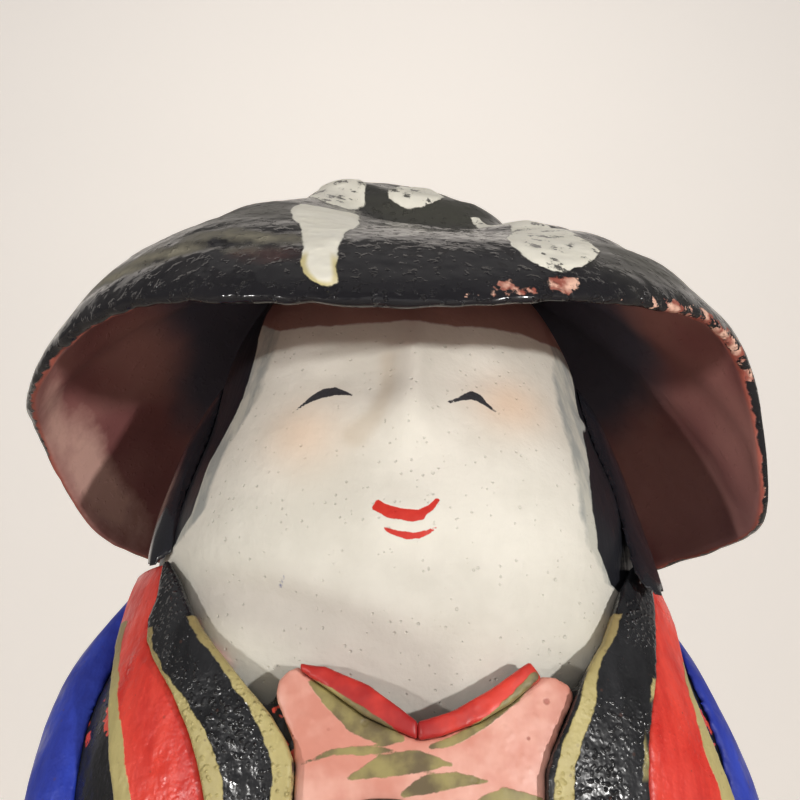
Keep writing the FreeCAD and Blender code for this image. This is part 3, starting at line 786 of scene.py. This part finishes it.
EYES = [
    [(-13.5, 137.5, 0.10), (-12.2, 138.6, 0.28), (-11.0, 139.4, 0.55), (-9.8, 139.9, 0.78),
     (-8.6, 140.1, 0.70), (-7.4, 139.7, 0.38), (-6.2, 139.2, 0.12)],
    [(6.3, 137.9, 0.20), (7.6, 138.5, 0.26), (8.6, 139.0, 0.50), (9.4, 139.3, 0.72), (10.2, 139.0, 0.60),
     (10.9, 138.3, 0.34), (12.4, 137.0, 0.10)],
]
LIPS = [
    [(-2.8, 124.5), (-1.8, 123.8), (0.0, 123.2), (2.2, 123.0), (3.4, 123.6), (4.4, 124.6), (4.9, 124.4),
     (4.1, 123.1), (3.2, 122.4), (2.9, 121.8), (1.5, 121.5), (-1.5, 122.0), (-3.5, 123.2)],
    [(-1.9, 120.9), (0.0, 120.4), (1.8, 120.2), (3.4, 120.6), (4.7, 121.1), (3.6, 120.1), (2.2, 119.5),
     (0.8, 119.4), (-0.8, 119.9), (-1.9, 120.5)],
]
eyes = np.min([stroke_distance(x, z, e) for e in EYES], axis=0)
lips = np.min([outline_distance(x, z, lip) for lip in LIPS], axis=0)
blue_nick = stroke_distance(x, z, [(-14.5, 114.5, 0.16), (-14.0, 115.6, 0.05)])
turn_deg = np.degrees(head_turns)[None, :]
round_size = np.hypot(x, y)
LEFT_EDGE = [(94, -100), (112, -96), (117, -78), (120.8, -65), (122.1, -58), (125.6, -52.5), (133, -51.5),
             (137, -48.5), (142, -45), (150, -45.5), (158, -50), (172, -52)]
RIGHT_EDGE = [(94, 100), (109, 96), (112, 76), (114.6, 57), (116, 50), (120.2, 45.6), (125, 45.6),
              (130, 47.2), (137, 53), (145, 60), (150, 68), (158, 72), (172, 74)]


def white_limit(edge):
    heights, turns = np.array(edge, float).T
    return np.interp(z, heights, turns)


white_ground = np.maximum(white_limit(LEFT_EDGE) - turn_deg, turn_deg - white_limit(RIGHT_EDGE))
white_ground = white_ground * round_size * math.pi / 180
temple_dab = np.hypot((x - 25.5) / 0.8, (z - 139.4) / 1.3) * 0.8 - 0.8 + 9 * (y > 0)
white_ground = np.minimum(white_ground, temple_dab)
wash_width = np.where(x > 0, np.interp(z, [114, 118, 128, 140, 150], [0.0, 1.0, 3.0, 6.0, 8.5]),
                      np.interp(z, [114, 122, 126, 150], [0.0, 1.0, 3.2, 4.0]))
wash = -(white_ground + wash_width)
brow_line = np.interp(x, [-26, -20, -17, -12, -4, 7, 17, 21, 26],
                      [160, 155, 152.2, 151.4, 150.9, 150.6, 151.5, 152, 154])
brow_red = np.where(y < 0, brow_line - z, 5.0)
blush = 0.9 * mound(-12.5, 133.6, 5.0, 5.0) + 1.1 * mound(14.5, 138.5, 5.0, 4.5)
# A tan stain down the left side of the nose, which is also painted shade beside the ridge.
nose_stain_and_shade = np.exp(-(np.clip(stroke_distance(x, z, [
    (-1.6, 145, 0.1), (-1.6, 139.5, 0.1), (-3.2, 135.6, 0.3), (-5.6, 133.2, 0.8)]), 0, 50) / 1.1) ** 2)
cheek_shade = np.exp(-(np.clip(stroke_distance(x, z, [
    (-24, 114, 0.6), (-14, 111.5, 1.2), (-4, 107.5, 1.5), (3, 104, 1.5)]), 0, 50) / 3.0) ** 2)
cheek_shade += 0.45 * mound(2, 110, 20, 7)
in_front = y < 0
for label, field in [("white_ground", white_ground), ("wash", wash), ("brow_red", brow_red),
                     ("eye", np.where(in_front, eyes, 5)), ("lip", np.where(in_front, lips, 5)),
                     ("blue_nick", np.where(in_front, blue_nick, 5)), ("blush", blush),
                     ("nose_stain_and_shade", nose_stain_and_shade * in_front), ("cheek_shade", cheek_shade * in_front)]:
    flat = field[::-1].ravel()
    mark(head, label, np.concatenate([flat, [flat[0], flat[-1]]]))
print("smallest eye distance:", round(float(eyes.min()), 2), "mm; lips:", round(float(lips.min()), 2), "mm")

# %% [markdown]
# The white is powdered shell in glue. It dries matt with fine pits where bubbles burst, and thin
# washes of grey remain where the brush met the black hair. The red undercoat of the hat ran down onto
# the forehead. A tan stain down the nose's left side is also painted shade, and the grey under the
# cheeks and chin is painted shade.

# %% Paint for the head
head_paint, tree, shader = new_material("head paint")
at = place(tree)
white_mask = ragged(tree, at, "white_ground", 0.5, 260.0, 0.12)
thin_edge = ragged(tree, at, "wash", 1.6, 210.0, 0.5)
wash_streak = between(tree, use(tree, brush_streaks, Vector=at, Scale=420.0, Length=5.0), 0.38, 0.62)
wash_colour = blend(tree, wash_streak, colour(138, 144, 144), colour(186, 186, 176))
eye_mask = ragged(tree, at, "eye", 0.16, 1800.0, 0.05)
lip_mask = ragged(tree, at, "lip", 0.14, 1200.0, 0.05)
nick_mask = ragged(tree, at, "blue_nick", 0.2, 1500.0, 0.12)
brow_mask = ragged(tree, at, "brow_red", 0.9, 170.0, 0.2)
cloud = grain(tree, at, 55.0, 4.0, 0.6)
ground = blend(tree, between(tree, cloud, 0.35, 0.7), colour(214, 211, 200), colour(231, 228, 218))
ground = blend(tree, times(tree, painted(tree, "blush"), 0.55), ground, colour(238, 204, 172))
# Tan stain and painted shade down the left side of the nose.
ground = blend(tree, times(tree, painted(tree, "nose_stain_and_shade"), 0.36), ground, colour(190, 172, 144))
ground = blend(tree, times(tree, painted(tree, "cheek_shade"), 0.42), ground, colour(172, 162, 156))
ground = blend(tree, times(tree, thin_edge, 0.8), ground, wash_colour)
small_pits = use(tree, pits, Vector=at, Scale=1000.0, Share=0.10, Size=0.28)
fine_pits = use(tree, pits, Vector=at, Scale=1500.0, Share=0.25, Size=0.36)
pit_mask = calc(tree, "MAXIMUM", small_pits, fine_pits)
dirt = times(tree, pit_mask, between(tree, grain(tree, at, 110.0, 3.0), 0.48, 0.68))
ground = blend(tree, times(tree, dirt, 0.12), ground, colour(120, 112, 98))
red_run = blend(tree, grain(tree, at, 200.0, 3.0), colour(120, 76, 70), colour(150, 104, 94))
ground = blend(tree, times(tree, brow_mask, 0.9), ground, red_run)
vermilion = blend(tree, grain(tree, at, 900.0, 3.0), colour(196, 44, 36), colour(214, 62, 50))
ground = blend(tree, lip_mask, ground, vermilion)
ink = blend(tree, grain(tree, at, 2400.0, 3.0), colour(34, 34, 40), colour(66, 66, 70))
ground = blend(tree, eye_mask, ground, ink)
ground = blend(tree, times(tree, nick_mask, 0.8), ground, colour(60, 76, 140))
strands = use(tree, brush_streaks, Vector=at, Scale=700.0, Length=7.0)
hair = blend(tree, strands, colour(26, 27, 32), colour(36, 37, 43))
tree.links.new(blend(tree, white_mask, hair, ground), shader.inputs["Base Color"])
face_rough = blend_value(tree, lip_mask, 0.62, 0.35)
tree.links.new(blend_value(tree, white_mask, 0.4, face_rough), shader.inputs["Roughness"])
shader.inputs["Specular IOR Level"].default_value = 0.35
brushed = grain(tree, at, 120.0, 4.0, 0.6)
brushed = calc(tree, "MULTIPLY_ADD", grain(tree, at, 1100.0, 3.0, 0.6), 0.22, brushed)
relief = calc(tree, "MULTIPLY_ADD", pit_mask, -0.4, brushed)
relief = calc(tree, "MULTIPLY_ADD", lip_mask, 0.12, relief)
relief = blend_value(tree, white_mask, times(tree, strands, 0.4), relief)
bump = node(tree, "ShaderNodeBump", {"Height": relief, "Distance": 0.0004, "Strength": 0.75})
tree.links.new(bump.outputs[0], shader.inputs["Normal"])
head = make_lumpy(head, head_paint, dent=0.5, dent_scale=60.0, ridge=0.06, ridge_scale=320.0, seed=8.0)
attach(head, "root")
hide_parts("face_shell", "hair_shell")
print("head painted:", len(head.data.polygons), "faces")

# %% [markdown]
# ## Paper strips on the robe
#
# The lapels are thick strips of paper pasted on the body and painted in bands. Each is recast from
# its CAD piece. For the gold lines along the edges, every point of a strip needs its distance to the
# strip's two edges, so the strip is read in thin slices from top to bottom and the outermost points
# of each slice are its edges.


# %% Distances to a strip's edges
def slice_edges(piece):
    """Distance of each point to the strip's edge on the -X side and on the +X side, in millimetres."""
    co = points_of(piece) * 1000
    height = co[:, 2]
    levels = np.arange(height.min(), height.max() + 1.0, 1.0)
    low, high = [], []
    for level in levels:
        near = np.abs(height - level) < 0.8
        low.append(co[near, 0].min() if near.any() else np.nan)
        high.append(co[near, 0].max() if near.any() else np.nan)
    low, high = np.array(low), np.array(high)
    good = ~np.isnan(low)
    to_low = co[:, 0] - np.interp(height, levels[good], low[good])
    to_high = np.interp(height, levels[good], high[good]) - co[:, 0]
    slope_low = np.interp(height, levels[good], np.gradient(low[good]))
    slope_high = np.interp(height, levels[good], np.gradient(high[good]))
    return to_low / np.hypot(1, slope_low), to_high / np.hypot(1, slope_high)


def strip(name, source, voxel=0.42, softening=5):
    made = recast(name, [source], voxel * MM, softening)
    low, high = slice_edges(made)
    inner, outer = (high, low) if points_of(made)[:, 0].mean() < 0 else (low, high)
    mark(made, "from_inner", inner)
    mark(made, "from_outer", outer)
    return made


# %% [markdown]
# ## Robe paints
#
# Black, vermilion, ultramarine, salmon pink and an olive gold. All are brushed on thickly over a
# white ground, so every colour has chips, and gloss that changes with the stroke. One function builds
# them, with its own gold margins.

# %% Paint with gold margins
GOLD_DARK, GOLD_LIGHT = colour(160, 146, 92), colour(206, 194, 134)


def banded_paint(name, body_dark, body_light, rough, inner=None, outer=None, broken=0.0, chips=0.0, lumps=0.2,
                 splotches=False):
    """A brushed colour with a gold line along each edge, which thins out towards its upper end.

    inner and outer are (width high up, width low down, top of the line, dark margin beside it), in mm.
    """
    material, tree, shader = new_material(name)
    at = place(tree)
    height = times(tree, node(tree, "ShaderNodeSeparateXYZ", {0: at}).outputs[2], 1000.0)
    streak = use(tree, brush_streaks, Vector=at, Scale=260.0, Length=5.0)
    body = blend(tree, between(tree, streak, 0.35, 0.68), body_dark, body_light)
    gold = blend(tree, use(tree, brush_streaks, Vector=at, Scale=600.0, Length=6.0), GOLD_DARK, GOLD_LIGHT)
    gold = blend(tree, between(tree, height, 100.0, 112.0, 0.0, 0.65), gold, colour(112, 90, 58))
    line = None
    for size, side, gap in ((inner, "from_inner", 0.0), (outer, "from_outer", broken)):
        if size is None:
            continue
        high_width, low_width, top, margin = size
        half = between(tree, height, 94.0, 106.0, low_width / 2, high_width / 2)
        start = between(tree, height, 100.0, 108.0, margin, 0.0)
        off_middle = calc(tree, "SUBTRACT", painted(tree, side), calc(tree, "ADD", start, half))
        reach = calc(tree, "SUBTRACT", calc(tree, "ABSOLUTE", off_middle), half)
        reach = calc(tree, "MAXIMUM", reach, calc(tree, "SUBTRACT", height, top))
        one = use(tree, ragged_edge, Vector=at, Distance=reach, Wobble=0.6, Scale=380.0, Softness=0.08)
        if gap > 0:
            one = times(tree, one, between(tree, grain(tree, at, 140.0, 2.0), gap - 0.05, gap + 0.05))
        line = one if line is None else calc(tree, "MAXIMUM", line, one)
    base = body if line is None else blend(tree, line, body, gold)
    if splotches:
        spots = between(tree, grain(tree, at, 150.0, 4.0, 0.65), 0.585, 0.60)
        spots = times(tree, spots, between(tree, height, 111.0, 113.0, 1.0, 0.0))
        base = blend(tree, spots, base, colour(226, 84, 68))
    worn = between(tree, grain(tree, at, 480.0, 5.0, 0.7), 0.70 - chips, 0.74 - chips)
    base = blend(tree, times(tree, worn, 0.6), base, WORN[body_dark])
    specks = use(tree, pits, Vector=at, Scale=900.0, Share=0.18, Size=0.3)
    base = blend(tree, times(tree, specks, 0.4), base, colour(90, 60, 50))
    tree.links.new(base, shader.inputs["Base Color"])
    patchy = between(tree, grain(tree, at, 170.0, 3.0), 0.3, 0.7, rough * 0.7, rough * 1.5)
    if line is not None:
        patchy = blend_value(tree, line, patchy, 0.5)
    tree.links.new(patchy, shader.inputs["Roughness"])
    beading = between(tree, grain(tree, at, 110.0, 2.0), 0.4, 0.62, 0.0, lumps)
    relief = calc(tree, "ADD", use(tree, lacquer_lumps, Vector=at, Scale=620.0, Fine=beading),
                  times(tree, streak, 0.5))
    if line is not None:
        relief = calc(tree, "MULTIPLY_ADD", line, 0.3, relief)
    bump = node(tree, "ShaderNodeBump", {"Height": relief, "Distance": 0.0003, "Strength": 0.7})
    tree.links.new(bump.outputs[0], shader.inputs["Normal"])
    return material


INK_DARK, INK_LIGHT = colour(24, 25, 28), colour(42, 43, 46)
RED_DARK, RED_LIGHT = colour(206, 46, 38), colour(236, 74, 60)
BLUE_DARK, BLUE_LIGHT = colour(34, 52, 160), colour(46, 70, 190)
WORN = {INK_DARK: colour(88, 86, 82), RED_DARK: colour(240, 150, 132), BLUE_DARK: colour(96, 112, 188)}
black_left_paint = banded_paint("black lapel left", INK_DARK, INK_LIGHT, 0.2, (1.3, 2.4, 111.5, 0),
                                (0.9, 2.5, 110.5, 0), lumps=1.2)
black_right_paint = banded_paint("black lapel right", INK_DARK, INK_LIGHT, 0.22, (1.3, 2.1, 111.8, 0.9),
                                 (0.8, 0.9, 104.0, 0), broken=0.5, lumps=1.2)
red_left_paint = banded_paint("red lapel left", RED_DARK, RED_LIGHT, 0.34, None, (1.6, 2.5, 112.5, 0))
red_right_paint = banded_paint("red lapel right", RED_DARK, RED_LIGHT, 0.34, None, (0.6, 2.3, 107.0, 0))
blue_paint = banded_paint("blue sleeve", BLUE_DARK, BLUE_LIGHT, 0.5, chips=-0.03)
ink_paint = banded_paint("black robe", INK_DARK, INK_LIGHT, 0.28)
strip_paint = banded_paint("black robe with red splotches", INK_DARK, INK_LIGHT, 0.28, splotches=True)
print("robe paints made")

# %% Lapels and sleeves
PIECES = [
    ("lapel_black_left", "black_lapel_left", black_left_paint, "black_lacquer", 0.42),
    ("lapel_black_right", "black_lapel_right", black_right_paint, "black_lacquer", 0.42),
    ("lapel_red_left", "red_lapel_left", red_left_paint, "red_paint", 0.42),
    ("lapel_red_right", "red_lapel_right", red_right_paint, "red_paint", 0.42),
    ("blue_sleeve_left", "sleeve_left", blue_paint, "blue_paint", 0.45),
    ("blue_sleeve_right", "sleeve_right", blue_paint, "blue_paint", 0.45),
]
for number, (label, source, paint, slot_name, voxel) in enumerate(PIECES):
    made = make_lumpy(strip(label, source, voxel), paint, dent=0.5, dent_scale=80.0, ridge=0.14,
                      ridge_scale=350.0, seed=10.0 + number)
    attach(made, "root")
    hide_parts(source)
    print(label, len(made.data.polygons), "faces")

# %% [markdown]
# ## The pink inner robe and the red collar
#
# The inner robe fills the opening between the lapels. It is salmon pink, with leaves in olive gold
# dabbed on it, each one press of a pointed brush. The collar is a narrow red strip round the neck,
# and two long leaves run along it.

# %% Pink robe and collar
LEAVES = [
    [(-10.4, 103.2, 0.2), (-8.2, 101.4, 1.0), (-4.8, 98.8, 1.5), (-1.8, 97.2, 1.2), (0.2, 96.8, 0.4)],
    [(3.4, 95.9, 0.2), (5.8, 96.5, 0.5), (9.8, 98.6, 0.5), (13.3, 101.4, 0.55), (15.6, 103.8, 0.5)],
    [(-11.0, 94.2, 0.1), (-7.5, 95.4, 0.35), (-3.5, 95.6, 0.5), (-0.8, 95.5, 0.15)],
    [(-5.8, 92.6, 0.15), (-2.0, 93.9, 1.2), (2.0, 94.4, 1.25), (5.6, 94.1, 0.2)],
    [(0.5, 91.0, 0.4), (3.0, 92.0, 1.0), (6.2, 92.5, 0.85), (9.6, 92.3, 0.15)],
    [(8.6, 90.3, 0.2), (11.6, 91.0, 0.8), (15.6, 90.4, 0.3)],
    [(-9.0, 74.0, 0.15), (-5.5, 75.4, 1.1), (-1.5, 75.6, 0.9), (1.6, 74.6, 0.15)],
    [(4.0, 70.0, 0.15), (7.4, 71.6, 1.1), (11.4, 71.8, 0.9), (14.2, 70.8, 0.15)],
    [(-8.0, 62.0, 0.15), (-4.6, 63.4, 1.1), (0.0, 63.2, 0.9), (2.6, 62.0, 0.15)],
    [(4.0, 55.0, 0.15), (7.4, 56.4, 1.1), (11.0, 56.8, 0.9), (14.0, 55.4, 0.15)],
    [(-9.0, 47.0, 0.15), (-5.6, 48.6, 1.1), (-1.6, 48.6, 0.9), (1.6, 47.4, 0.15)],
    [(3.0, 39.0, 0.15), (6.6, 40.6, 1.2), (10.6, 40.8, 0.9), (13.6, 39.4, 0.15)],
    [(-10.0, 31.0, 0.15), (-6.6, 32.6, 1.1), (-2.0, 32.4, 0.9), (1.0, 31.2, 0.15)],
    [(4.0, 22.0, 0.15), (7.6, 23.6, 1.2), (11.8, 23.8, 0.9), (15.0, 22.4, 0.15)],
    [(-11.0, 14.0, 0.15), (-7.4, 15.4, 1.2), (-3.0, 15.6, 0.9), (0.6, 14.4, 0.15)],
]


def leafy_paint(name, dark, light, rough):
    material, tree, shader = new_material(name)
    at = place(tree)
    body = blend(tree, between(tree, grain(tree, at, 110.0, 4.0, 0.6), 0.35, 0.68), dark, light)
    specks = use(tree, pits, Vector=at, Scale=480.0, Share=0.3, Size=0.26)
    body = blend(tree, times(tree, specks, 0.6), body, colour(150, 62, 50))
    leaf_mask = ragged(tree, at, "leaf", 0.3, 700.0, 0.07)
    olive = between(tree, grain(tree, at, 260.0, 4.0), 0.35, 0.65)
    olive = blend(tree, olive, colour(104, 90, 62), colour(158, 146, 92))
    tree.links.new(blend(tree, leaf_mask, body, olive), shader.inputs["Base Color"])
    tree.links.new(blend_value(tree, leaf_mask, rough, 0.5), shader.inputs["Roughness"])
    height = use(tree, lacquer_lumps, Vector=at, Scale=280.0, Fine=0.2)
    height = calc(tree, "MULTIPLY_ADD", specks, -0.5, height)
    height = calc(tree, "MULTIPLY_ADD", leaf_mask, 0.2, height)
    bump = node(tree, "ShaderNodeBump", {"Height": height, "Distance": 0.0003, "Strength": 0.6})
    tree.links.new(bump.outputs[0], shader.inputs["Normal"])
    return material


pink_paint = leafy_paint("pink robe", colour(214, 142, 124), colour(236, 180, 164), 0.42)
collar_paint = leafy_paint("red collar", colour(168, 34, 34), colour(226, 66, 52), 0.42)
for number, (label, source, paint, slot_name) in enumerate([
        ("pink_inner_robe", "under_robe_panel", pink_paint, "pink_paint"),
        ("collar_left", "red_collar_left", collar_paint, "red_paint"),
        ("collar_right", "red_collar_right", collar_paint, "red_paint")]):
    made = recast(label, [source], 0.36 * MM, 3)
    co = points_of(made) * 1000
    mark(made, "leaf", np.min([stroke_distance(co[:, 0], co[:, 2], leaf) for leaf in LEAVES], axis=0))
    made = make_lumpy(made, paint, dent=0.4, dent_scale=90.0, ridge=0.1, ridge_scale=350.0,
                      seed=20.0 + number)
    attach(made, "root")
    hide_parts(source)
    print(label, len(made.data.polygons), "faces")

# %% [markdown]
# ## Body, hair and sash
#
# The robe's shells lie under everything and show as black between the strips and down the back. The
# hair beside the face was laid on in long wet strands of black, the glossiest paint on the doll. The
# lower ends of its two locks are drawn forwards and down, out over the lapels.

# %% Robe shells, hair and sash
hair_paint, tree, shader = new_material("hair paint")
at = place(tree)
strands = use(tree, brush_streaks, Vector=at, Scale=520.0, Length=9.0)
tree.links.new(blend(tree, strands, colour(26, 27, 32), colour(36, 37, 43)), shader.inputs["Base Color"])
shader.inputs["Specular IOR Level"].default_value = 0.2
shader.inputs["Coat Weight"].default_value = 0.6
shader.inputs["Coat Roughness"].default_value = 0.1
tree.links.new(between(tree, strands, 0.3, 0.7, 0.12, 0.26), shader.inputs["Roughness"])
bump = node(tree, "ShaderNodeBump", {"Height": strands, "Distance": 0.0003, "Strength": 0.6})
tree.links.new(bump.outputs[0], shader.inputs["Normal"])


SWEEP_STARTS, SWEEP_LENGTH = 0.131, 0.011  # height where a lock begins to bend, and how soon it is full
LOCK_MIDDLE, LOCK_TIP = 33.5 * MM, 34.4 * MM  # distance from the doll's middle


def sweep_out(lock, side):
    """Draws the lower end of a lock forwards and down, so that it runs out over the lapel."""
    co = points_of(lock)
    low = np.clip((SWEEP_STARTS - co[:, 2]) / SWEEP_LENGTH, 0, 1) ** 1.6
    forwards, down = (9.0, 8.5) if side > 0 else (3.0, 3.5)
    inwards = np.clip(LOCK_MIDDLE - side * co[:, 0], 0, None)
    co[:, 0] -= side * low * (0.4 * MM + 1.3 * inwards)
    co[:, 0] += 0.4 * low * (side * LOCK_TIP - co[:, 0])
    co[:, 1] -= forwards * MM * low
    co[:, 2] -= down * MM * low
    lock.data.vertices.foreach_set("co", co.astype(np.float32).ravel())


REST = [
    ("robe_front", ["robe_front_shell"], strip_paint, "robe_paint", 0.75, 3),
    ("robe_back", ["robe_back_shell"], ink_paint, "robe_paint", 0.75, 3),
    ("hair_lock_left", ["side_lock_left"], hair_paint, "black_lacquer", 0.36, 4),
    ("hair_lock_right", ["side_lock_right"], hair_paint, "black_lacquer", 0.36, 4),
    ("tail_of_hair", ["hair_tail"], hair_paint, "black_lacquer", 0.5, 4),
    ("sash", ["sash_band"], ink_paint, "robe_paint", 0.4, 3),
    ("knot", ["sash_knot"], ink_paint, "black_lacquer", 0.36, 3),
]
for number, (label, sources, paint, slot_name, voxel, softening) in enumerate(REST):
    made = recast(label, sources, voxel * MM, softening)
    if label.startswith("hair_lock"):
        sweep_out(made, 1 if label.endswith("right") else -1)
    made = make_lumpy(made, paint, dent=0.3, dent_scale=90.0, ridge=0.1, ridge_scale=350.0,
                      seed=30.0 + number)
    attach(made, "root")
    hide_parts(*sources)
    print(label, len(made.data.polygons), "faces")

# %% [markdown]
# ## What stays hidden
#
# The post, the boards, the clay weight and the paper strips inside are shown as they come from the
# frame. They are plain materials, so each gets a simple pattern of its own.


# %% Inner materials
def fibre_material(name, dark, light, scale, stretch, rough):
    material, tree, shader = new_material(name)
    streak = use(tree, brush_streaks, Vector=place(tree), Scale=scale, Length=stretch)
    tree.links.new(blend(tree, streak, dark, light), shader.inputs["Base Color"])
    shader.inputs["Roughness"].default_value = rough
    bump = node(tree, "ShaderNodeBump", {"Height": streak, "Distance": 0.0002, "Strength": 0.5})
    tree.links.new(bump.outputs[0], shader.inputs["Normal"])
    return material


INNER = {
    "wood": (fibre_material("post wood", colour(170, 128, 84), colour(206, 168, 120), 420.0, 12.0, 0.6),
             ["centre_post", "hat_pad"]),
    "board": (fibre_material("pasteboard", colour(140, 120, 94), colour(172, 152, 122), 300.0, 1.0, 0.9),
              ["base_board", "shoulder_disc", "head_floor_disc"]),
    "clay": (fibre_material("dried clay", colour(120, 84, 62), colour(154, 112, 86), 160.0, 1.0, 0.95),
             ["clay_weight"]),
    "paper": (fibre_material("bare paper", colour(176, 164, 138), colour(206, 196, 172), 240.0, 2.0, 0.9),
              ["base_paper", "robe_seam_left", "robe_seam_right", "head_seam_left", "head_seam_right"]),
}
for label, (material, nodes) in INNER.items():
    for name in nodes:
        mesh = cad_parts[name].data
        mesh.materials.clear()
        mesh.materials.append(material)
    print(label, "on", nodes)
